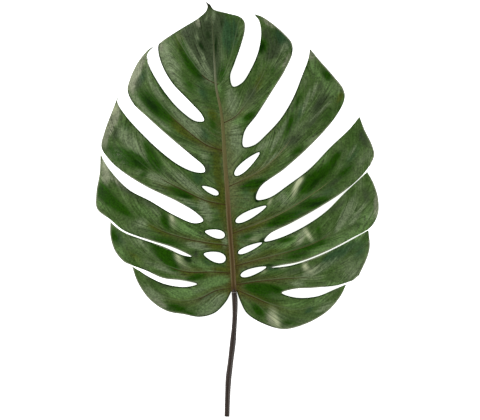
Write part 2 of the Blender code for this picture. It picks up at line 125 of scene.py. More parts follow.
form = {
    "crown": 14.6,  # height of the upper face along the midrib at the joint
    "swell": 6.0,  # height of the swell further on
    "swellAt": 150.0,
    "swellReach": 110.0,
    "tipDrop": 6.5,  # it sinks towards the drip tip
    "tipDropFrom": 255.0,
    "tipDropTo": 352.0,
    "wing": 3.6,  # rise beside the midrib before the blade falls to its margin
    "wingWidth": 15.0,
    "fallEnd": 1.15,  # the fall ends this far out, as a share of the reach
    "arch": 2.0,  # fall across a lobe, from its vein to its side margins
    "twist": 0.9,  # a lobe's side towards the tip lies lower
    "halfLobe": 24.0,
    "lobeEnd": 1.3,  # as a share of half a lobe
    "wave": 0.7,  # a lobe's side margins go up and down along it
    "waveLength": 62.0,
    "waveShift": 1.9,  # in radians, from each lobe to the next
    "blend": 4.0,  # how softly the relief of two lobes meets
    "reliefFrom": 10.0,  # from the midrib
    "reliefFull": 55.0,
    "valley": 0.45,  # the upper face dips along each lateral vein
    "valleyWidth": 2.6,
    "restingSpots": [(-157, 171), (131, 236)],  # the low places that touch the table
    "restDip": 2.4,
    "restReach": 24.0,
    "holeTaper": 0.35,  # a hole is wider at its inner end
    "pucker": 0.8,  # the blade is drawn up a little where it shines
    "puckerSpread": 1.3,
    "veinBend": 22.0,  # how slowly the fine veins bend away from their lateral
    "veinStart": 1.5,  # how sharply they leave it
    "veinBack": 60.0,  # each lateral is drawn out this far at its inner end for them,
    "veinOn": 40.0,  # and this far at its outer end
    "veinBlend": 6.0,  # how softly the fine veins of two laterals meet
    "topLobe": 2.2,  # the left half's top lobe is wider than the others
    "touchStep": 1.2,  # the touches are placed in steps of this many millimetres
    "touchStart": (234, 291),  # the joint's place in these steps
    "curveStep": 4.0,  # steps along the curves that the fields follow
    "lobeStep": 6.0,
    "streakStep": 2.0,
}


# A smooth curve through the points, with edges no longer than step.
def splineThrough(points, step):
    points = np.array(points, float)
    knots = np.vstack([2 * points[0] - points[1], points, 2 * points[-1] - points[-2]])
    curve = []
    for k in range(1, len(knots) - 2):
        p = knots[k - 1:k + 3]
        gaps = np.maximum(np.sqrt(np.linalg.norm(np.diff(p[:, :2], axis=0), axis=1)), 1e-3)
        t = np.concatenate([[0], np.cumsum(gaps)])
        count = max(2, math.ceil(np.linalg.norm(p[2, :2] - p[1, :2]) / step))
        for s in np.linspace(t[1], t[2], count, endpoint=False):
            a = [((t[i + 1] - s) * p[i] + (s - t[i]) * p[i + 1]) / (t[i + 1] - t[i]) for i in range(3)]
            b = [((t[i + 2] - s) * a[i] + (s - t[i]) * a[i + 1]) / (t[i + 2] - t[i]) for i in range(2)]
            curve.append(((t[2] - s) * b[0] + (s - t[1]) * b[1]) / (t[2] - t[1]))
    curve.append(points[-1])
    return np.array(curve)


def outline(step):
    left = [point for run in leftMargin for point in splineThrough(run, step)[:-1]]
    right = [point for run in rightMargin for point in splineThrough(run, step)[:-1]]
    return np.array(left + [leftMargin[-1][-1], rightMargin[-1][-1]] + right[:0:-1])


def holeRim(inner, outer, width, sides):
    inner, outer = np.array(inner, float), np.array(outer, float)
    half = (outer - inner) / 2
    across = np.array([-half[1], half[0]]) / np.linalg.norm(half)
    turn = np.linspace(0, math.tau, sides, endpoint=False)
    along = -np.cos(turn)
    wide = np.sin(turn) * width / 2 * (1 - form["holeTaper"] * along)
    return (inner + outer) / 2 + along[:, None] * half + wide[:, None] * across


# Distance from the line, positive on its left, and how far along it the nearest place is.
def fromLine(points, line):
    a, ab = line[:-1], np.diff(line, axis=0)
    length = np.linalg.norm(ab, axis=1)
    away = np.empty(len(points))
    along = np.empty(len(points))
    starts = np.concatenate([[0], np.cumsum(length)])
    atOnce = 8000  # points, to spare memory
    for first in range(0, len(points), atOnce):
        some = slice(first, first + atOnce)
        to = points[some, None, :] - a
        share = np.clip((to * ab).sum(axis=2) / length ** 2, 0, 1)
        gap = np.linalg.norm(to - share[..., None] * ab, axis=2)
        nearest = gap.argmin(axis=1)
        rows = np.arange(len(nearest))
        turn = ab[nearest, 0] * to[rows, nearest, 1] - ab[nearest, 1] * to[rows, nearest, 0]
        away[some] = gap[rows, nearest] * np.where(turn < 0, -1, 1)
        along[some] = starts[nearest] + share[rows, nearest] * length[nearest]
    return away, along


def smoothStep(value):
    value = np.clip(value, 0, 1)
    return value * value * (3 - 2 * value)


def spanAt(table, y):
    curve = splineThrough(table, form["curveStep"])
    return np.interp(y, curve[:, 0], curve[:, 1]), np.interp(y, curve[:, 0], curve[:, 2])


def besideMidrib(points):
    line = splineThrough(midribLine, form["curveStep"])
    return points[:, 0] - np.interp(points[:, 1], line[:, 1], line[:, 0])


# Relief of the lobes, and each point's place along and beside its nearest lateral vein.
def lobeField(points):
    weightSum, reliefSum = 0, 0
    nearest = np.full(len(points), np.inf)
    place = np.zeros((len(points), 2))
    for veins, tipSide in ((leftLaterals, -1), (rightLaterals, 1)):
        for order, vein in enumerate(veins):
            away, along = fromLine(points, splineThrough(vein, form["lobeStep"]))
            weight = np.exp(-np.abs(away) / form["blend"])
            share = np.clip(tipSide * away / form["halfLobe"], -form["lobeEnd"], form["lobeEnd"])
            turn = math.tau * along / form["waveLength"] + form["waveShift"] * order
            ripple = form["wave"] * np.sin(turn)
            weightSum = weightSum + weight
            reliefSum = reliefSum + weight * ((ripple - form["arch"]) * share ** 2 - form["twist"] * share)
            closer = np.abs(away) < nearest
            nearest = np.where(closer, np.abs(away), nearest)
            place = np.where(closer[:, None], np.column_stack([along, tipSide * away]), place)
    return reliefSum / np.maximum(weightSum, 1e-30), place


# A number that is the same all along each fine vein, which leaves its lateral along it and bends away.
# With it, a number that is 1, and less where the fine veins of two laterals meet.
def streakField(points):
    left = besideMidrib(points) < 0
    total, apart = np.zeros(len(points)), np.zeros(len(points))
    for veins, mine in ((leftLaterals, left), (rightLaterals, ~left)):
        weights, values, squares = 1e-30, 0, 0
        for vein in veins:
            wider = form["topLobe"] if vein is leftLaterals[0] else 1
            line = splineThrough(vein, form["streakStep"])
            back = (line[0] - line[1]) / np.linalg.norm(line[0] - line[1]) * form["veinBack"]
            onward = (line[-1] - line[-2]) / np.linalg.norm(line[-1] - line[-2]) * form["veinOn"]
            away, along = fromLine(points[mine], np.vstack([line[0] + back, line, line[-1] + onward]))
            bend = form["veinBend"] * wider * np.sqrt(np.abs(away) + form["veinStart"])
            weight = np.exp(-np.abs(away) / (form["veinBlend"] * wider))
            values = values + weight * (along - bend)
            weights = weights + weight
            squares = squares + weight ** 2
        total[mine] = values / weights
        apart[mine] = squares / weights ** 2
    return total, apart


# Sum of the soft oval spots, 1 in the middle of one of full strength.
def softSpots(points, spots, grow=1.0):
    value = np.zeros(len(points))
    step = form["touchStep"]
    for x, y, turn, long, wide, strength in spots:
        cos, sin = math.cos(math.radians(turn)), math.sin(math.radians(turn))
        dx = points[:, 0] - (x - form["touchStart"][0]) * step
        dy = points[:, 1] - (form["touchStart"][1] - y) * step
        u = (dx * cos + dy * sin) / (long * step * grow)
        v = (dy * cos - dx * sin) / (wide * step * grow)
        value += strength * np.exp(-u * u - v * v)
    return value


# Height of the blade's upper face over the table.
def upperHeight(points):
    y = points[:, 1]
    out = besideMidrib(points)
    crown = form["crown"] + form["swell"] * np.exp(-((y - form["swellAt"]) / form["swellReach"]) ** 2)
    crown -= form["swell"] * math.exp(-(form["swellAt"] / form["swellReach"]) ** 2)
    tipDrop = (y - form["tipDropFrom"]) / (form["tipDropTo"] - form["tipDropFrom"])
    crown -= form["tipDrop"] * smoothStep(tipDrop)
    crown += form["wing"] * (1 - np.exp(-(out / form["wingWidth"]) ** 2))
    left, right = spanAt(leftSpan, y), spanAt(rightSpan, y)
    reach = np.where(out < 0, left[0], right[0])
    edge = np.where(out < 0, left[1], right[1])
    fall = np.minimum(np.abs(out) / reach, form["fallEnd"]) ** 2
    relief, place = lobeField(points)
    fade = smoothStep((np.abs(out) - form["reliefFrom"]) / (form["reliefFull"] - form["reliefFrom"]))
    height = crown * (1 - fall) + edge * fall + fade * relief
    height -= form["valley"] * np.exp(-(place[:, 1] / form["valleyWidth"]) ** 2)
    for spot in form["restingSpots"]:
        gap = ((points - np.array(spot)) ** 2).sum(axis=1)
        height -= form["restDip"] * np.exp(-gap / form["restReach"] ** 2)
    return height + form["pucker"] * softSpots(points, touches["cream"], form["puckerSpread"])


def deselectAll():
    if bpy.context.object and bpy.context.object.mode != "OBJECT":
        bpy.ops.object.mode_set(mode="OBJECT")
    bpy.ops.object.select_all(action="DESELECT")


def activate(piece):
    deselectAll()
    piece.select_set(True)
    bpy.context.view_layer.objects.active = piece


def pointsOf(piece):
    flat = np.empty(len(piece.data.vertices) * 3, np.float32)
    piece.data.vertices.foreach_get("co", flat)
    return flat.reshape(-1, 3).astype(float)


def setPoints(piece, points):
    piece.data.vertices.foreach_set("co", np.asarray(points, np.float32).ravel())
    piece.data.update()


def toLeaf(points):
    return points[:, :2] / mm - jointAt


def toWorld(points, height):
    return np.column_stack([points[:, :2] + jointAt, np.broadcast_to(height, len(points))]) * mm


def keepAboveTable(piece):
    points = pointsOf(piece)
    points[:, 2] = np.maximum(points[:, 2], 0)
    setPoints(piece, points)


# Merges points that lie on each other, closes open ends and turns every face outwards.
def closeMesh(piece, mergeWithin):
    activate(piece)
    bpy.ops.object.mode_set(mode="EDIT")
    bpy.ops.mesh.select_all(action="SELECT")
    bpy.ops.mesh.remove_doubles(threshold=mergeWithin)
    bpy.ops.mesh.select_all(action="SELECT")
    bpy.ops.mesh.fill_holes(sides=0)
    bpy.ops.mesh.select_all(action="SELECT")
    bpy.ops.mesh.normals_make_consistent(inside=False)
    bpy.ops.object.mode_set(mode="OBJECT")


def smooth(piece, sharpFrom):
    piece.data.shade_smooth()
    piece.data.set_sharp_from_angle(angle=math.radians(sharpFrom))


def addGrid(name, across, along):
    deselectAll()
    bpy.ops.mesh.primitive_grid_add(x_subdivisions=across, y_subdivisions=along, size=1)
    piece = bpy.context.active_object
    piece.name = name
    piece.data.name = name
    return piece


def keepNumbers(piece, name, values):
    layer = piece.data.attributes.new(name, "FLOAT", "POINT")
    layer.data.foreach_set("value", np.asarray(values, np.float32))


# Shader helpers.
def connect(tree, node, values):
    for key, value in values.items():
        if isinstance(value, bpy.types.NodeSocket):
            tree.links.new(value, node.inputs[key])
        else:
            node.inputs[key].default_value = value


def addNode(tree, kind, inputs=None, **settings):
    made = tree.nodes.new(kind)
    for name, value in settings.items():
        setattr(made, name, value)
    connect(tree, made, inputs or {})
    return made


def calc(tree, operation, first, second=0.0, third=0.0, clamp=False):
    made = addNode(tree, "ShaderNodeMath", {0: first, 1: second, 2: third}, operation=operation)
    made.use_clamp = clamp
    return made.outputs[0]


def product(tree, first, *others):
    for other in others:
        first = calc(tree, "MULTIPLY", first, other)
    return first


# The sum of the named fields by their shares, each counted from the centre.
def weigh(tree, fields, shares, centre=0.0):
    total = 0.0
    for name, share in shares.items():
        total = calc(tree, "MULTIPLY_ADD", calc(tree, "SUBTRACT", fields[name], centre), share, total)
    return total


def remap(tree, value, low, high, toLow=0.0, toHigh=1.0):
    made = addNode(tree, "ShaderNodeMapRange", {"Value": value, "From Min": low, "From Max": high,
                                                "To Min": toLow, "To Max": toHigh},
                   interpolation_type="SMOOTHSTEP")
    return made.outputs["Result"]


# The product of ramps, each with its field's name, where it starts and ends and, if not 0 and 1, its results.
def zone(tree, fields, strength, *ramps):
    return product(tree, *[remap(tree, fields[field], *ends) for field, *ends in ramps], strength)


def mixColours(tree, factor, first, second, blend="MIX"):
    made = addNode(tree, "ShaderNodeMix", {0: factor, 6: first, 7: second}, data_type="RGBA",
                   blend_type=blend)
    return made.outputs[2]


# Colours laid on one after the other. Each layer has a colour's name and its zone.
def layColours(tree, fields, palette, colour, layers):
    for name, *settings in layers:
        colour = mixColours(tree, zone(tree, fields, *settings), colour, palette[name])
    return colour


def readNumbers(tree, name):
    return addNode(tree, "ShaderNodeAttribute", attribute_name=name).outputs["Fac"]


def placeOn(tree):
    return addNode(tree, "ShaderNodeTexCoord").outputs["Object"]


def noiseAt(tree, vector, scale, detail, rough):
    made = addNode(tree, "ShaderNodeTexNoise", {"Vector": vector, "Scale": scale, "Detail": detail,
                                                "Roughness": rough})
    return made.outputs["Fac"]


# Noise drawn out along a piece: its scales across and along, its detail and roughness.
def fibreNoise(tree, aside, onward, sizes, also=0.0):
    across, along, detail, rough = sizes
    place = addNode(tree, "ShaderNodeCombineXYZ", {0: calc(tree, "MULTIPLY", aside, across),
                                                   1: calc(tree, "MULTIPLY", onward, along),
                                                   2: calc(tree, "MULTIPLY", also, along)})
    return noiseAt(tree, place.outputs[0], 1.0, detail, rough)


def addBump(tree, height, sizes, **others):
    return addNode(tree, "ShaderNodeBump", {"Height": height, "Strength": sizes[0], "Distance": sizes[1],
                                            **others}).outputs[0]


def finishSkin(tree, shader, settings, colour, **others):
    connect(tree, shader, {"Base Color": colour, "Roughness": settings["roughness"],
                           "Specular IOR Level": settings["specular"], **others})


def newMaterial(name):
    material = bpy.data.materials.new(name)
    material.use_nodes = True
    return material, material.node_tree, material.node_tree.nodes["Principled BSDF"]


# Camera.
view = {
    "middle": (3.32, -1.2, 8.0),  # what the picture's middle looks at, in millimetres
    "width": 576.0,  # width of the picture there
    "lens": 200.0,
    "sensor": 36.0,
    "clipEnd": 20.0,  # metres
}


def makeCamera():
    data = bpy.data.cameras.new("camera")
    data.sensor_width = view["sensor"]
    data.lens = view["lens"]
    data.clip_end = view["clipEnd"]
    camera = bpy.data.objects.new("camera", data)
    x, y, z = view["middle"]
    camera.location = (x * mm, y * mm, z * mm + view["lens"] * view["width"] * mm / view["sensor"])
    bpy.context.scene.collection.objects.link(camera)
    bpy.context.scene.camera = camera
    bpy.context.scene.view_settings.view_transform = "Standard"


# Light and table.
studio = {
    "softboxes": [  # name, place, size, power in watts
        ("keySoftbox", (-1.9, 0.9, 1.25), 1.1, 76),
        ("fillSoftbox", (1.9, -0.8, 1.25), 1.1, 55.5),
    ],
    "sky": (1, 1, 1, 1),  # also the colour of the table's glow
    "skyPower": 0.06,
    "tableSize": 8.0,  # metres
    "tableTop": -0.0002,  # metres, just under the leaf
    "tableColour": (0.93, 0.93, 0.925, 1),
    "tableRoughness": 0.8,
    "tableGlow": 0.95,  # keeps the table white under the leaf's soft shadow
}


def makeStudio():
    for name, place, size, power in studio["softboxes"]:
        data = bpy.data.lights.new(name, "AREA")
        data.shape = "SQUARE"
        data.size = size
        data.energy = power
        lamp = bpy.data.objects.new(name, data)
        lamp.location = place
        lamp.rotation_euler = (-Vector(place)).to_track_quat("-Z", "Y").to_euler()
        bpy.context.scene.collection.objects.link(lamp)
    world = bpy.data.worlds.new("studio")
    world.use_nodes = True
    connect(world.node_tree, world.node_tree.nodes["Background"],
            {"Color": studio["sky"], "Strength": studio["skyPower"]})
    bpy.context.scene.world = world
    deselectAll()
    bpy.ops.mesh.primitive_plane_add(size=studio["tableSize"], location=(0, 0, studio["tableTop"]))
    table = bpy.context.active_object
    table.name = "table"
    material, tree, shader = newMaterial("whiteTable")
    connect(tree, shader, {"Base Color": studio["tableColour"], "Roughness": studio["tableRoughness"],
                           "Emission Color": studio["sky"], "Emission Strength": studio["tableGlow"]})
    table.data.materials.append(material)
    print("studio: table, sky and", len(studio["softboxes"]), "softboxes")


# Soft touches of colour on the blade, placed in steps from the picture's top left corner:
# x, y, turn in degrees, half length, half width, strength.
touches = {}
# painted sheen: bluish-grey patches where the leaf's gloss reflects the light
touches["slateSheen"] = [
    (207, 40, 100, 26, 13, 0.75), (212, 68, 105, 18, 8, 0.5), (275, 42, 60, 14, 9, 0.6),
    (200, 47, 120, 20, 10, 0.9), (190, 38, 110, 10, 5, 0.7), (192, 28, 32, 10, 3, 0.8),
    (212, 22, 95, 10, 8, 0.9), (222, 22, 90, 10, 5, 0.7), (205, 67, 112, 13, 6, 0.8),
    (217, 45, 92, 14, 3, 0.5), (138, 83, 75, 7, 4, 1), (116, 133, 70, 7, 4, 0.9),
    (126, 189, 145, 13, 3.5, 0.8), (150, 204, 152, 14, 3.5, 0.5), (207, 168, 100, 6, 4, 0.8),
    (266, 33, 90, 7, 4, 0.8), (273, 53, 45, 9, 5, 0.9), (251, 95, 70, 10, 5, 0.7),
    (320, 104, 60, 14, 5, 0.9), (320, 86, 50, 8, 3, 0.6), (292, 141, 22, 10, 5, 0.8),
    (310, 124, 35, 12, 4, 0.5), (363, 138, 112, 9, 4, 0.9), (334, 182, 38, 14, 3, 0.7),
    (366, 196, 100, 10, 4, 0.6), (337, 207, 38, 12, 3, 0.6), (314, 270, 30, 16, 4, 0.6),
    (296, 270, 10, 12, 4, 0.5), (165, 285, 160, 9, 3, 0.7), (196, 254, 95, 4, 3, 0.8),
    (207, 296, 25, 12, 3, 0.6), (255, 278, 8, 14, 3, 0.4)]
touches["teal"] = [
    (231, 36, 92, 20, 8, 0.45), (227, 38, 92, 14, 4, 1), (235, 30, 92, 12, 3, 0.6),
    (203, 134, 125, 9, 5, 0.8), (198, 178, 125, 9, 5, 0.7), (283, 38, 130, 12, 6, 1),
    (331, 257, 40, 11, 5, 1.1), (345, 248, 38, 14, 6, 0.9), (360, 250, 70, 14, 6, 0.5),
    (352, 156, 58, 14, 5, 0.5), (328, 192, 25, 12, 4, 0.5), (295, 214, 20, 9, 3, 0.8),
    (203, 92, 110, 12, 5, 0.6), (143, 76, 70, 9, 4, 0.6), (272, 268, 3, 10, 2.5, 0.7),
    (309, 310, 40, 6, 3, 0.7), (126, 128, 120, 8, 4, 0.4), (192, 207, 150, 10, 4, 0.5),
    (118, 238, 120, 9, 5, 0.6), (207, 262, 140, 6, 3, 0.6), (246, 190, 80, 8, 5, 0.4),
    (300, 113, 65, 12, 3, 0.5)]
touches["vivid"] = [
    (192, 67, 123, 17, 4.5, 1.2), (183, 46, 108, 12, 5, 0.45), (152, 104, 132, 17, 6.5, 1.2),
    (167, 115, 137, 12, 6, 0.6), (164, 93, 128, 10, 2.5, 0.5), (213, 125, 110, 8, 4, 0.6),
    (124, 156, 157, 19, 7, 1.2), (138, 162, 150, 13, 5, 1), (149, 149, 120, 11, 4, 0.7),
    (156, 163, 125, 12, 5, 0.9), (222, 72, 85, 10, 4, 0.7), (181, 193, 160, 13, 4, 1.1),
    (190, 87, 130, 12, 5, 0.5), (143, 175, 20, 5, 3, 0.6), (103, 192, 120, 9, 6, 1.2),
    (113, 202, 140, 14, 6, 1), (126, 212, 145, 10, 4, 0.5), (166, 222, 110, 9, 4, 1.1),
    (171, 241, 170, 8, 3, 0.7), (114, 236, 110, 8, 4, 0.9), (162, 250, 130, 16, 8, 1.2),
    (172, 263, 130, 9, 5, 1.1), (196, 277, 12, 10, 3, 1), (178, 308, 165, 10, 3, 1),
    (190, 314, 170, 8, 2, 0.6), (262, 47, 80, 8, 5, 1), (273, 70, 75, 6, 3, 0.5), (249, 117, 35, 7, 3, 1),
    (327, 75, 130, 7, 4, 1), (298, 101, 65, 9, 3, 0.7), (289, 125, 70, 13, 5, 0.7),
    (327, 116, 55, 9, 5, 0.5), (297, 151, 40, 9, 4, 0.6), (256, 184, 8, 15, 5, 1.2),
    (319, 176, 43, 22, 7, 0.8), (322, 174, 40, 12, 3, 0.6), (307, 183, 60, 10, 7, 0.9),
    (345, 171, 42, 11, 4, 0.8), (336, 157, 48, 10, 3, 0.7), (314, 203, 12, 15, 5.5, 1.2),
    (284, 218, 20, 14, 5, 1.1), (268, 289, 165, 18, 7, 0.5), (273, 224, 20, 8, 3, 0.7),
    (285, 240, 12, 9, 2.5, 0.9), (319, 233, 100, 9, 3, 0.6), (307, 247, 14, 24, 4, 0.9),
    (297, 256, 10, 13, 2.5, 0.8), (255, 288, 162, 12, 5, 0.8), (275, 289, 160, 9, 2.5, 1.1),
    (258, 310, 130, 9, 4, 0.9), (268, 300, 160, 12, 4, 0.4), (289, 322, 12, 9, 3, 0.7),
    (247, 236, 15, 8, 4, 0.6)]
touches["fresh"] = [
    (200, 291, 14, 28, 9, 0.25), (216, 281, 14, 12, 4, 1.1), (181, 293, 172, 11, 5, 1.1),
    (365, 222, 70, 18, 8, 0.6), (330, 247, 22, 26, 6, 0.5), (328, 84, 125, 16, 7, 0.5),
    (240, 121, 15, 8, 3, 0.9), (264, 105, 60, 10, 3, 0.9), (272, 86, 62, 8, 3, 0.6),
    (181, 226, 150, 9, 5, 0.9), (193, 232, 150, 11, 4, 0.7), (146, 212, 145, 11, 3, 0.8),
    (330, 245, 22, 20, 3.5, 0.9), (348, 236, 28, 14, 4, 0.7), (314, 69, 120, 9, 5, 0.7),
    (219, 88, 110, 5, 3, 0.8), (303, 181, 62, 5, 3, 0.8), (321, 160, 45, 11, 2.5, 0.9),
    (203, 266, 150, 11, 3, 0.8), (120, 252, 130, 10, 3, 0.7), (104, 206, 140, 9, 3, 0.8),
    (335, 285, 10, 9, 3, 0.9), (292, 306, 10, 14, 5, 0.4), (320, 300, 32, 13, 4, 0.5),
    (282, 246, 15, 9, 3, 0.7), (294, 240, 35, 8, 4, 0.7), (318, 220, 35, 10, 3, 0.4),
    (289, 196, 130, 8, 4, 0.5), (142, 263, 145, 11, 3, 0.5), (205, 309, 30, 12, 4, 0.5),
    (258, 247, 20, 10, 3, 0.5)]
# painted sheen: pale grey patches where the tilted surface catches the light
touches["pale"] = [
    (225, 240, 92, 8, 3, 0.8), (189, 54, 112, 14, 3, 0.8), (206, 75, 118, 11, 6, 0.8),
    (204, 60, 112, 12, 2, 0.7), (197, 38, 98, 10, 2, 0.5), (150, 300, 150, 17, 9, 0.7),
    (206, 311, 60, 14, 9, 0.7), (355, 276, 20, 16, 6, 0.5), (163, 60, 108, 16, 4, 0.9),
    (173, 62, 120, 16, 3.5, 0.6), (176, 80, 130, 14, 3, 0.8), (142, 105, 135, 15, 3, 0.9),
    (162, 124, 138, 14, 2.5, 0.6), (185, 121, 140, 19, 4, 1), (194, 129, 128, 8, 5, 1),
    (158, 92, 128, 16, 3, 0.7), (124, 137, 120, 11, 5, 0.8), (138, 150, 122, 17, 4.5, 1.1),
    (158, 179, 155, 13, 4, 0.9), (184, 180, 135, 12, 4, 0.8), (193, 187, 145, 11, 3, 0.9),
    (187, 201, 152, 11, 2.5, 0.7), (141, 223, 0, 6, 5, 0.8), (206, 211, 112, 13, 4.5, 1),
    (140, 242, 140, 9, 4, 0.6), (166, 269, 160, 14, 3, 0.9), (195, 245, 172, 10, 3, 0.8),
    (199, 290, 20, 14, 3, 0.5), (215, 304, 52, 13, 5, 0.8), (203, 314, 20, 7, 3, 1),
    (153, 296, 130, 12, 4, 0.8), (232, 100, 96, 16, 6, 0.8), (236, 139, 92, 15, 6, 1),
    (243, 143, 105, 6, 3, 0.8), (205, 158, 135, 6, 4, 0.7), (284, 50, 70, 9, 4, 0.7),
    (278, 137, 62, 15, 2.2, 1.2), (285, 125, 66, 8, 1.5, 0.8), (306, 102, 72, 13, 1.8, 0.9),
    (314, 92, 75, 11, 1.8, 0.9), (319, 112, 42, 14, 1.8, 0.8), (352, 152, 60, 8, 1.8, 0.6),
    (284, 198, 100, 6, 5, 0.9), (346, 212, 62, 17, 2.8, 1.1), (350, 214, 60, 16, 7, 0.5),
    (358, 214, 58, 11, 2.2, 0.9), (340, 224, 60, 9, 2, 0.6), (300, 236, 60, 9, 4, 0.9),
    (245, 247, 20, 6, 3, 0.5), (310, 272, 35, 10, 4, 0.8), (298, 284, 0, 7, 3, 0.8),
    (325, 266, 35, 16, 4, 0.5), (324, 308, 35, 12, 4, 0.6), (273, 158, 40, 14, 2.5, 0.7),
    (262, 147, 35, 9, 3, 0.6), (200, 247, 165, 9, 2.5, 0.6), (336, 244, 22, 18, 1.8, 0.4),
    (213, 17, 88, 6, 2.2, 0.9), (207, 18, 75, 6, 1.8, 0.6), (190, 58, 112, 12, 2, 0.7),
    (197, 62, 118, 12, 1.8, 0.7)]
# painted sheen: the brightest pale patches, mostly near the margins
touches["brightSheen"] = [
    (138, 70, 66, 15, 3, 1.2), (132, 86, 95, 8, 3, 1), (113, 120, 68, 15, 4, 1.3),
    (105, 137, 66, 12, 3, 0.9), (105, 146, 100, 7, 3, 0.6), (105, 165, 122, 9, 4, 0.9),
    (105, 178, 100, 9, 4, 0.7), (117, 181, 142, 12, 3, 0.6), (198, 22, 100, 5, 2.5, 1),
    (311, 54, 100, 5, 3, 0.9), (268, 23, 142, 8, 2, 0.8), (286, 61, 66, 9, 1.5, 0.8),
    (376, 205, 90, 12, 2, 0.8), (160, 303, 145, 9, 2, 0.7), (161, 47, 100, 6, 2, 0.7),
    (271, 318, 98, 8, 4.5, 0.8), (300, 240, 55, 7, 3, 0.45)]
touches["olive"] = [
    (176, 122, 138, 14, 4, 1.2), (189, 136, 147, 15, 3.5, 0.9), (217, 165, 92, 20, 4, 1),
    (221, 200, 92, 20, 3.5, 1), (219, 244, 0, 12, 4.5, 1), (165, 186, 150, 15, 3, 0.8),
    (204, 199, 165, 12, 3, 0.7), (251, 228, 22, 14, 3, 0.7), (255, 190, 5, 9, 2, 0.8),
    (247, 277, 10, 12, 3, 0.8), (268, 131, 45, 9, 3, 0.9), (318, 162, 45, 9, 2, 0.6),
    (186, 273, 170, 13, 3, 1), (136, 258, 140, 10, 2.5, 0.8), (256, 297, 160, 12, 3, 0.8),
    (185, 298, 12, 12, 2.5, 0.8), (160, 231, 150, 15, 3, 0.8), (213, 116, 110, 10, 5, 0.7),
    (258, 84, 65, 16, 4, 0.6), (182, 44, 105, 13, 5, 0.9), (340, 97, 60, 7, 3, 0.8),
    (222, 270, 5, 8, 4, 0.8), (275, 250, 14, 18, 2.5, 0.6), (224, 290, 20, 10, 3, 0.6),
    (146, 168, 160, 8, 2.5, 0.7)]
# mostly painted shadow at the slits' inner ends, with some deep dark patches elsewhere
touches["dark"] = [
    (216, 45, 86, 12, 1.6, 0.7), (257, 199, 120, 3.5, 2, 1), (201, 46, 130, 8, 2.5, 0.6),
    (208, 36, 100, 7, 3, 0.5), (152, 105, 132, 11, 3, 1), (138, 163, 150, 8, 2.5, 0.6),
    (188, 259, 150, 4, 2.5, 1.4), (256, 197, 100, 4, 2, 1.3), (263, 240, 25, 4, 2, 1.2),
    (262, 48, 80, 5, 2.5, 0.8), (316, 182, 45, 11, 3, 0.7), (315, 204, 15, 9, 2.5, 0.6),
    (276, 289, 160, 7, 1.5, 0.5), (202, 77, 140, 7, 2, 0.7), (318, 106, 60, 9, 2.5, 0.3),
    (261, 182, 15, 6, 2, 0.5), (102, 192, 110, 6, 2.5, 0.5), (222, 23, 88, 6, 2, 0.6),
    (186, 196, 165, 7, 2, 0.6), (269, 265, 0, 5, 1.5, 0.7)]
# painted highlights where the blade is drawn up and shines; the same spots raise the blade a little
touches["cream"] = [
    (172, 218, 105, 5, 2.4, 1), (174, 224, 115, 6, 4, 0.4), (178, 257, 115, 6, 3, 0.9),
    (183, 263, 142, 7, 3, 0.5), (299, 180, 45, 5, 3.5, 1), (296, 187, 62, 8, 3, 0.7),
    (294, 193, 66, 7, 2, 0.4), (305, 230, 118, 5, 3, 0.5), (309, 236, 122, 6, 2.2, 0.9),
    (300, 240, 50, 8, 4, 0.35), (305, 266, 100, 5, 3, 1), (311, 272, 130, 7, 2.5, 0.35),
    (314, 268, 35, 8, 3, 0.3), (273, 315, 100, 7, 5, 0.8), (277, 323, 105, 6, 3.5, 0.9),
    (270, 201, 70, 6, 2, 0.6), (254, 239, 20, 5, 2.5, 0.5), (283, 267, 10, 4, 2, 0.6),
    (264, 271, 40, 4, 2, 0.5), (115, 108, 75, 7, 3, 0.8), (104, 166, 120, 6, 2, 0.4),
    (207, 255, 120, 3, 1.8, 0.5)]

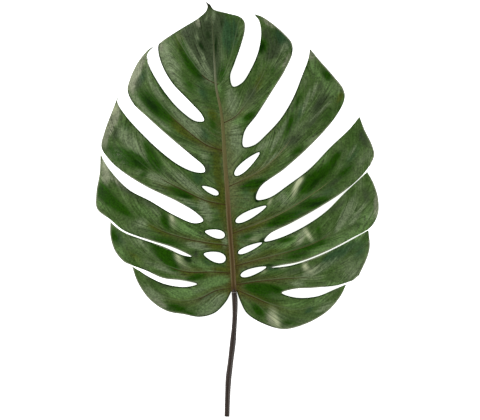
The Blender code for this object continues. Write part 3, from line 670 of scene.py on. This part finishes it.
# The blade.
blade = {
    "grid": 1.6,  # size of the grid's cells
    "room": 3,  # how far the grid reaches past the outline
    "marginStep": 1.6,
    "holeSides": 44,
    "cutterHeight": 0.02,  # metres
    "mergeWithin": 0.00001,  # metres
    "sharpFrom": 50,  # degrees
    "thickness": 0.9,
    "fineMarginStep": 0.5,  # for the colours' distance from the margin and the holes
    "fineHoleSides": 90,
    "rimReach": 20,
    "touchMost": 1.2,  # touches that lie on each other add up to this at most
    "green": (0.052, 0.093, 0.024, 1),
    "grey": (0.106, 0.142, 0.070, 1),
    # painted sheen, bluish grey
    "slateSheen": (0.035, 0.051, 0.023, 1),
    "teal": (0.019, 0.052, 0.020, 1),
    "vivid": (0.010, 0.046, 0.0002, 1),
    "fresh": (0.092, 0.165, 0.050, 1),
    # pale grey-green: painted sheen in the pale touches, and also the light lines and the underside's
    # mottling
    "pale": (0.128, 0.168, 0.088, 1),
    # painted sheen and painted rim highlight, the brightest pale colour
    "brightSheen": (0.190, 0.205, 0.135, 1),
    "olive": (0.046, 0.062, 0.006, 1),
    "bark": (0.057, 0.052, 0.010, 1),
    "khaki": (0.098, 0.115, 0.046, 1),
    # near black, for painted shadow
    "dark": (0.002, 0.015, 0.0003, 1),
    # painted highlight, cream
    "cream": (0.41, 0.45, 0.27, 1),
    "tip": (0.02, 0.022, 0.012, 1),
    "under": (0.11, 0.17, 0.065, 1),
    "streaks": {  # scales across and along the fine veins, detail, roughness
        "fine": (0.40, 0.035, 3.0, 0.6),
        "band": (0.12, 0.022, 2.0, 0.6),
        "wide": (0.03, 0.018, 3.0, 0.6),
    },
    "noises": {  # scale to the metre, detail, roughness
        "patches": (38.0, 3.0, 0.55),
        "mottling": (120.0, 4.0, 0.62),
        "grain": (480.0, 2.0, 0.6),
    },
    "mixtures": {
        "mottle": {"wide": 0.5, "patches": 0.5},
        "uneven": {"band": 0.45, "fine": 0.35, "mottling": 0.2},
        "creamNoise": {"fine": 0.7, "band": 0.3},
    },
    "ground": [  # layers under the touches
        ("grey", 0.6, ("mottle", 0.46, 0.64)),
        ("vivid", 0.4, ("mottle", 0.50, 0.36)),
        ("vivid", 0.25, ("band", 0.50, 0.34)),
        ("fresh", 0.25, ("band", 0.52, 0.68)),
        ("bark", 0.85, ("besideVein", 10, 0.5), ("along", 110, 10), ("far", 260, 150)),
        ("bark", 1.0, ("besideMidrib", 11, 4), ("far", 130, 30, 0.35, 1.0), ("far", 240, 150)),
        ("khaki", 0.7, ("out", 22, 6), ("out", 0, 3), ("far", 75, 120), ("far", 240, 200)),
    ],
    "order": [("olive", 0.9), ("slateSheen", 0.95), ("teal", 0.9), ("pale", 0.85), ("fresh", 0.85),
              ("brightSheen", 0.8), ("vivid", 0.97), ("dark", 0.9)],  # the touches, as they are laid on
    "touchUneven": (0.38, 0.62, 0.45, 1.3),
    "touchEdge": (0.0, 0.7),
    "clear": (1, ("apart", 0.55, 0.95)),  # streaks show away from where two laterals' veins meet,
    "outer": (0.4, ("besideMidrib", 40, 70)),  # and far from the midrib
    "streaky": (1, ("besideMidrib", 2.5, 14, 0.2, 1.0), ("besideVein", 0.6, 3.0, 0.4, 1.0),
                ("patches", 0.35, 0.6, 0.5, 1.2), ("far", -20, 20, 0.6, 1.0)),
    "smoothTip": (0.5, ("out", 85, 110), ("far", 225, 250)),  # less so at one lobe's tip
    "streakTone": {"fine": 2.7, "band": 0.6},
    "grainTone": {"grain": 1.4, "mottling": 0.9},
    "creamPower": 1.4,
    "creamStreaks": (0.38, 0.60, 0.35, 1.3),
    "creamShare": 0.95,
    "lineAt": 1.3,  # a light line runs this far beside each lateral
    "light": [  # that line, and a painted highlight along the lower margins where the rim catches the light
        ("pale", 0.35, ("besideLine", 0.9, 0.2), ("along", 4, 20), ("along", 150, 60)),
        ("brightSheen", 0.7, ("rim", 2.0, 0.9), ("side", 0, -8), ("besideMidrib", 18, 45)),
    ],
    # painted shadow on the rims: along the upper margins and at the slits' inner ends near the midrib, within
    # about two millimetres of the margin and not near the drip tip
    "upperRim": (0.9, ("side", 0, 8), ("besideMidrib", 160, 80)),  # painted shadow along the upper margins, which turn down
    "innerRim": (0.8, ("besideMidrib", 62, 40)),
    "darkRim": (1, ("far", 335, 280), ("rim", 2.2, 0.8)),
    "ends": [  # painted shadow round the holes' rims, and the drip tip's own dark colour
        ("dark", 0.85, ("hole", 2.2, 0.8)),
        ("tip", 1.0, ("far", 334, 343)),
    ],
    "roughness": 0.2,  # grows with the patches
    "roughPatches": 0.2,
    "specular": 0.14,
    "gloss": (0.95, 1.0, 0.75, 1),
    "offVein": (1, ("besideVein", 0.6, 3.0)),
    "swells": (0.4, 0.001),  # strength and height in metres
    "ridges": (0.35, 0.0004),
    "underLayers": [
        ("grey", 1.0, ("wide", 0.35, 0.65)),
        ("pale", 0.3, ("fine", 0.35, 0.7)),
    ],
    "underRoughness": 0.6,
    "underRidges": (0.4, 0.0004),
}


# A solid with the outline and the holes, to cut the grid with.
def makeCutter(rims):
    curve = bpy.data.curves.new("outline", "CURVE")
    curve.dimensions = "2D"
    curve.fill_mode = "BOTH"
    curve.extrude = blade["cutterHeight"]
    for each in rims:
        chain = curve.splines.new("POLY")
        chain.points.add(len(each) - 1)
        places = toWorld(each, 0)
        chain.points.foreach_set("co", np.column_stack([places, np.ones(len(each))]).ravel())
        chain.use_cyclic_u = True
    cutter = bpy.data.objects.new("outline", curve)
    bpy.context.scene.collection.objects.link(cutter)
    activate(cutter)
    bpy.ops.object.convert(target="MESH")
    closeMesh(cutter, blade["mergeWithin"])
    return cutter


# A fine grid cut to the leaf's outline and holes, lifted to its height and given its thickness.
def cutBlade():
    rim = outline(blade["marginStep"])
    cutter = makeCutter([rim] + [holeRim(*sizes, blade["holeSides"]) for sizes in holes])
    low, high = rim.min(axis=0) - blade["room"], rim.max(axis=0) + blade["room"]
    cells = ((high - low) / blade["grid"]).astype(int)
    piece = addGrid("leaf", int(cells[0]), int(cells[1]))
    share = pointsOf(piece)[:, :2] + 0.5
    flat = low + share * (high - low)
    setPoints(piece, toWorld(flat, 0))
    cut = piece.modifiers.new("cut", "BOOLEAN")
    cut.operation = "INTERSECT"
    cut.object = cutter
    bpy.ops.object.modifier_apply(modifier="cut")
    bpy.data.objects.remove(cutter)
    points = toLeaf(pointsOf(piece))
    setPoints(piece, toWorld(points, np.maximum(upperHeight(points), blade["thickness"])))
    piece.data.materials.clear()
    for material in (upperMaterial(), underMaterial()):
        piece.data.materials.append(material)
    for face in piece.data.polygons:
        face.material_index = 0
    thick = piece.modifiers.new("thickness", "SOLIDIFY")
    thick.thickness = blade["thickness"] * mm
    thick.offset = -1
    thick.material_offset = 1
    thick.material_offset_rim = 0
    bpy.ops.object.modifier_apply(modifier="thickness")
    keepAboveTable(piece)
    smooth(piece, blade["sharpFrom"])
    return piece


def rimDistance(points, rims):
    tree = KDTree(sum(len(each) for each in rims))
    for k, place in enumerate(np.vstack(rims)):
        tree.insert((place[0], place[1], 0), k)
    tree.balance()
    away = np.array([tree.find((x, y, 0))[2] for x, y in points])
    return np.minimum(away, blade["rimReach"])


# Numbers that the blade's colours follow: the fields and the touches.
def paintBlade(piece):
    points = toLeaf(pointsOf(piece))
    _, place = lobeField(points)
    streak, apart = streakField(points)
    holeRims = [holeRim(*sizes, blade["fineHoleSides"]) for sizes in holes]
    fields = {
        "along": place[:, 0],  # along the nearest lateral
        "side": place[:, 1],  # beside it, positive towards the drip tip
        "streak": streak,
        "apart": apart,
        "out": besideMidrib(points),
        "far": points[:, 1],  # from the joint towards the drip tip
        "rim": rimDistance(points, [outline(blade["fineMarginStep"])]),
        "hole": rimDistance(points, holeRims),
    }
    for name, spots in touches.items():
        fields[name] = np.minimum(softSpots(points, spots), blade["touchMost"])
    for name, values in fields.items():
        keepNumbers(piece, name, values)


# The fields in a material, with streaks along the fine veins and noise.
def bladeFields(tree):
    names = ("along", "side", "streak", "apart", "out", "far", "rim", "hole")
    fields = {name: readNumbers(tree, name) for name in names}
    for name, sizes in blade["streaks"].items():
        fields[name] = fibreNoise(tree, fields["streak"], fields["far"], sizes, fields["out"])
    for name, sizes in blade["noises"].items():
        fields[name] = noiseAt(tree, placeOn(tree), *sizes)
    for name, shares in blade["mixtures"].items():
        fields[name] = weigh(tree, fields, shares)
    fields["besideMidrib"] = calc(tree, "ABSOLUTE", fields["out"])
    fields["besideVein"] = calc(tree, "ABSOLUTE", fields["side"])
    fields["besideLine"] = calc(tree, "ABSOLUTE", calc(tree, "SUBTRACT", fields["side"], blade["lineAt"]))
    return fields


def touch(tree, name, uneven, strength):
    value = product(tree, readNumbers(tree, name), remap(tree, uneven, *blade["touchUneven"]))
    return product(tree, remap(tree, value, *blade["touchEdge"]), strength)


# How much lighter or darker than its colour each place is.
def bladeTone(tree, fields):
    clear, outer, streaky, smoothTip = [zone(tree, fields, *blade[name])
                                        for name in ("clear", "outer", "streaky", "smoothTip")]
    streaks = product(tree, weigh(tree, fields, blade["streakTone"], 0.5), streaky,
                      calc(tree, "MAXIMUM", clear, outer), calc(tree, "SUBTRACT", 1.0, smoothTip))
    return calc(tree, "ADD", streaks, weigh(tree, fields, blade["grainTone"], 0.5))


def upperMaterial():
    material, tree, shader = newMaterial("leafUpperSkin")
    fields = bladeFields(tree)
    colour = layColours(tree, fields, blade, blade["green"], blade["ground"])
    # The touches; the slate, pale and bright ones are painted sheen and the dark ones mostly painted shadow.
    for name, strength in blade["order"]:
        colour = mixColours(tree, touch(tree, name, fields["uneven"], strength), colour, blade[name])
    colour = mixColours(tree, 1.0, colour, calc(tree, "ADD", bladeTone(tree, fields), 1.0), "MULTIPLY")
    # Painted highlights in cream, streaked by the fine veins.
    cream = product(tree, calc(tree, "POWER", readNumbers(tree, "cream"), blade["creamPower"]),
                    remap(tree, fields["creamNoise"], *blade["creamStreaks"]))
    cream = calc(tree, "MULTIPLY", cream, blade["creamShare"], clamp=True)
    colour = mixColours(tree, cream, colour, blade["cream"])
    # a light line beside each lateral, and a painted highlight along the lower margins
    colour = layColours(tree, fields, blade, colour, blade["light"])
    # Painted shadow along the upper margins and at the slits' inner ends.
    shade = calc(tree, "MAXIMUM", zone(tree, fields, *blade["upperRim"]),
                 zone(tree, fields, *blade["innerRim"]))
    shade = product(tree, shade, zone(tree, fields, *blade["darkRim"]))
    colour = mixColours(tree, shade, colour, blade["dark"])
    # Painted shadow round the holes, and the dark drip tip.
    colour = layColours(tree, fields, blade, colour, blade["ends"])
    offVein = zone(tree, fields, *blade["offVein"])
    swells = product(tree, calc(tree, "SUBTRACT", fields["band"], 0.5), offVein)
    ridges = product(tree, calc(tree, "SUBTRACT", fields["fine"], 0.5), offVein)
    bump = addBump(tree, ridges, blade["ridges"], Normal=addBump(tree, swells, blade["swells"]))
    finishSkin(tree, shader, blade, colour, Normal=bump)
    rough = calc(tree, "MULTIPLY_ADD", fields["patches"], blade["roughPatches"], blade["roughness"])
    connect(tree, shader, {"Roughness": rough, "Specular Tint": blade["gloss"]})
    return material


def underMaterial():
    material, tree, shader = newMaterial("leafUnderside")
    fields = bladeFields(tree)
    colour = layColours(tree, fields, blade, blade["under"], blade["underLayers"])
    bump = addBump(tree, fields["fine"], blade["underRidges"])
    connect(tree, shader, {"Base Color": colour, "Roughness": blade["underRoughness"], "Normal": bump})
    return material


def makeBlade():
    piece = cutBlade()
    paintBlade(piece)
    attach(piece, "root")
    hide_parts("leaf_blade")
    print("blade:", len(piece.data.polygons), "faces")


# Round pieces along a line: the midrib, the lateral veins and the stalk.
rounds = {
    "mergeWithin": 0.000002,  # metres
    "sharpFrom": 45,  # degrees
}


# A grid rolled up round the line, which has x, y, z and radius; profile gives the radius round it.
def wrapAlong(name, line, sides, profile):
    rows = len(line)
    piece = addGrid(name, sides, rows - 1)
    index = np.rint((pointsOf(piece)[:, :2] + 0.5) * [sides, rows - 1]).astype(int)
    turn = math.tau * index[:, 0] / sides
    centre, radius = line[index[:, 1], :3], line[index[:, 1], 3]
    ahead = np.gradient(line[:, :3], axis=0)[index[:, 1]]
    ahead /= np.linalg.norm(ahead, axis=1)[:, None]
    across = np.cross(ahead, (0, 0, 1))
    across /= np.linalg.norm(across, axis=1)[:, None]
    up = np.cross(across, ahead)
    wide, tall = profile(turn, index[:, 1] / (rows - 1))
    places = centre + (radius * wide)[:, None] * across + (radius * tall)[:, None] * up
    setPoints(piece, toWorld(places, places[:, 2]))
    closeMesh(piece, rounds["mergeWithin"])
    smooth(piece, rounds["sharpFrom"])
    return piece


def runOf(line):
    return np.concatenate([[0], np.cumsum(np.linalg.norm(np.diff(line, axis=0), axis=1))])


# Keeps how far each point is beside the line and along it.
def keepPlace(piece, line):
    away, run = fromLine(toLeaf(pointsOf(piece)), line)
    keepNumbers(piece, "away", away)
    keepNumbers(piece, "run", run)


midrib = {
    "step": 3.0,
    "cutShort": 4,  # steps left off at the drip tip
    "sides": 18,
    "halfWidth": [(0, 3.3), (0.3, 3.1), (0.5, 2.6), (0.6, 1.9), (0.8, 1.3), (0.93, 0.9), (1, 0.3)],
    "stand": [(0, 1.1), (0.6, 0.7), (0.8, 0.35), (1, 0.05)],  # both by share of its length, from the joint
    "flat": 0.4,  # its upper side is flatter than its lower side
    "deep": 0.8,
    "groove": 0.3,  # depth of the groove on top, and its width in radians
    "grooveWidth": 0.3,
    "tan": (0.086, 0.060, 0.020, 1),
    "pink": (0.126, 0.091, 0.038, 1),
    "brown": (0.042, 0.024, 0.006, 1),
    "olive": (0.100, 0.094, 0.032, 1),
    "edge": (0.125, 0.112, 0.050, 1),
    "pale": (0.115, 0.130, 0.072, 1),
    "green": (0.050, 0.066, 0.026, 1),
    "streak": (1.6, 0.03, 2.0, 0.5),
    "layers": [
        ("pink", 1.0, ("streak", 0.35, 0.65)),
        ("olive", 1.0, ("run", 90, 190)),
        ("edge", 0.75, ("away", 1.4, 2.6), ("run", 2, 30), ("run", 150, 100, 0.5, 1.0)),
        ("brown", 0.75, ("fromMiddle", 1.8, 0.5), ("run", 130, 75)),
        ("brown", 0.8, ("run", 13, 1)),
        ("pale", 1.0, ("run", 215, 265)),
        ("green", 1.0, ("run", 262, 300)),
    ],
    "roughness": 0.5,
    "specular": 0.12,
    "bump": (0.4, 0.0003),
}


def midribMaterial():
    material, tree, shader = newMaterial("midribSkin")
    fields = {name: readNumbers(tree, name) for name in ("away", "run")}
    fields["fromMiddle"] = calc(tree, "ABSOLUTE", fields["away"])
    fields["streak"] = fibreNoise(tree, fields["away"], fields["run"], midrib["streak"])
    colour = layColours(tree, fields, midrib, midrib["tan"], midrib["layers"])
    finishSkin(tree, shader, midrib, colour, Normal=addBump(tree, fields["streak"], midrib["bump"]))
    return material


def makeMidrib():
    flat = splineThrough(midribLine, midrib["step"])[:-midrib["cutShort"]]
    run = runOf(flat)
    radius = np.interp(run / run[-1], *zip(*midrib["halfWidth"]))
    top = upperHeight(flat) + np.interp(run / run[-1], *zip(*midrib["stand"]))
    line = np.column_stack([flat, top - radius * midrib["flat"], radius])

    def profile(turn, share):
        dent = midrib["groove"] * np.exp(-((turn - math.pi / 2) / midrib["grooveWidth"]) ** 2) * (1 - share)
        tall = np.where(np.sin(turn) > 0, midrib["flat"], midrib["deep"])
        return np.cos(turn), np.sin(turn) * tall * (1 - dent)

    piece = wrapAlong("midrib", line, midrib["sides"], profile)
    keepAboveTable(piece)
    keepPlace(piece, flat)
    piece.data.materials.append(midribMaterial())
    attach(piece, "root")
    print("midrib:", len(piece.data.polygons), "faces")


lateral = {
    "step": 3.0,
    "sides": 8,
    "radius": (0.75, 0.35),  # at its inner and outer end
    "stand": 0.25,  # how far it stands out of the blade
    "deep": 1.8,  # it stands further out below
    "shown": [(26, 100, 120, 125, 100, 66), (6, 45, 125, 175, 165, 120, 60)],  # how far it shows above
    "sinkFrom": 0.6,  # the share of that where it starts to sink into the blade
    "light": [(0, 0, 0, 0, 0, 0), (0, 0.5, 1, 0.85, 0.35, 0.1, 0)],  # how light each lateral is
    "lightFrom": (8, 45),
    "tan": (0.122, 0.124, 0.048, 1),
    "brown": (0.040, 0.023, 0.006, 1),
    "green": (0.050, 0.058, 0.016, 1),
    "greenFrom": (30, 150),
    "noise": (90.0, 2.0, 0.5),
    "roughness": 0.5,
    "specular": 0.1,
}


def lateralMaterial():
    material, tree, shader = newMaterial("lateralVeinSkin")
    run = readNumbers(tree, "run")
    uneven = noiseAt(tree, placeOn(tree), *lateral["noise"])
    fade = calc(tree, "ADD", remap(tree, run, *lateral["greenFrom"]),
                calc(tree, "SUBTRACT", uneven, 0.5), clamp=True)
    colour = mixColours(tree, fade, lateral["brown"], lateral["green"])
    lightness = product(tree, readNumbers(tree, "lightness"), remap(tree, run, *lateral["lightFrom"]))
    colour = mixColours(tree, lightness, colour, lateral["tan"])
    finishSkin(tree, shader, lateral, colour)
    return material


def makeLateral(points, shown, lightness):
    flat = splineThrough(points, lateral["step"])[:-1]
    run = runOf(flat)
    radius = np.interp(run / run[-1], (0, 1), lateral["radius"])
    sinkFrom = lateral["sinkFrom"]
    stand = lateral["stand"] * (1 - 2 * smoothStep((run - sinkFrom * shown) / ((1 - sinkFrom) * shown)))
    height = upperHeight(flat) + stand - radius
    line = np.column_stack([flat, np.maximum(height, radius * lateral["deep"]), radius])

    def profile(turn, share):
        return np.cos(turn), np.sin(turn) * np.where(np.sin(turn) > 0, 1, lateral["deep"])

    piece = wrapAlong("lateral", line, lateral["sides"], profile)
    keepPlace(piece, flat)
    keepNumbers(piece, "lightness", np.full(len(piece.data.vertices), lightness))
    return piece


def makeLaterals():
    halves = zip((leftLaterals, rightLaterals), lateral["shown"], lateral["light"])
    made = [makeLateral(*sizes) for half in halves for sizes in zip(*half)]
    deselectAll()
    for piece in made:
        piece.select_set(True)
    bpy.context.view_layer.objects.active = made[0]
    bpy.ops.object.join()
    piece = bpy.context.active_object
    piece.name = "lateral_veins"
    piece.data.materials.append(lateralMaterial())
    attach(piece, "root")
    print("lateral veins:", len(piece.data.polygons), "faces")


# The stalk.
stalk = {
    "line": [(-0.2, 4, 12.6, 2.2), (0, -1.05, 12.9, 3.0), (0.9, -8.4, 12.9, 3.4), (1.2, -24, 11.6, 3.1),
             (0.5, -40.3, 9.7, 3.1), (-1.3, -61.8, 7.2, 3.7), (-3.8, -82.8, 4.9, 3.4),
             (-6.5, -104.4, 3.4, 3.6), (-7.7, -126, 2.8, 3.2), (-8.4, -151.1, 2.7, 3.1)],
    "step": 1.6,
    "sides": 40,
    "grooves": 9,
    "grooveDepth": 0.03,
    "grooveSway": 3,  # how far the grooves wander to and fro along the stalk,
    "grooveSwing": 4,  # and how quickly
    "dark": (0.012, 0.006, 0.004, 1),
    "brown": (0.034, 0.023, 0.016, 1),
    "light": (0.095, 0.074, 0.060, 1),
    "crack": (0.30, 0.27, 0.24, 1),
    "crackAt": 5.6,  # a pale crack across the knuckle
    "fibre": (1.5, 0.035, 3.0, 0.6),
    "layers": [
        ("brown", 1.0, ("fibre", 0.35, 0.6)),
        ("light", 0.6, ("fibre", 0.6, 0.75)),
        ("dark", 0.6, ("run", 14, 5)),
        ("crack", 0.5, ("fromCrack", 0.6, 0.2)),
    ],
    "speck": (700.0, 2.0, 0.6),
    "speckShare": 0.2,
    "roughness": 0.5,
    "specular": 0.25,
    "bump": (0.6, 0.0004),
}


def stalkMaterial():
    material, tree, shader = newMaterial("stalkSkin")
    fields = {name: readNumbers(tree, name) for name in ("away", "run")}
    fields["fibre"] = fibreNoise(tree, fields["away"], fields["run"], stalk["fibre"])
    fields["fromCrack"] = calc(tree, "ABSOLUTE", calc(tree, "SUBTRACT", fields["run"], stalk["crackAt"]))
    colour = layColours(tree, fields, stalk, stalk["dark"], stalk["layers"])
    speck = noiseAt(tree, placeOn(tree), *stalk["speck"])
    height = calc(tree, "MULTIPLY_ADD", speck, stalk["speckShare"], fields["fibre"])
    finishSkin(tree, shader, stalk, colour, Normal=addBump(tree, height, stalk["bump"]))
    return material


def makeStalk():
    line = splineThrough(stalk["line"], stalk["step"])

    def profile(turn, share):
        sway = stalk["grooveSway"] * np.sin(stalk["grooveSwing"] * share)
        ridge = 1 - stalk["grooveDepth"] * (1 + np.cos(stalk["grooves"] * turn + sway)) / 2
        return np.cos(turn) * ridge, np.sin(turn) * ridge

    piece = wrapAlong("leafStalk", line, stalk["sides"], profile)
    keepAboveTable(piece)
    keepPlace(piece, line[:, :2])
    piece.data.materials.append(stalkMaterial())
    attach(piece, "root")
    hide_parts("stalk")
    print("stalk:", len(piece.data.polygons), "faces")


makeCamera()
makeStudio()
makeBlade()
makeMidrib()
makeLaterals()
makeStalk()
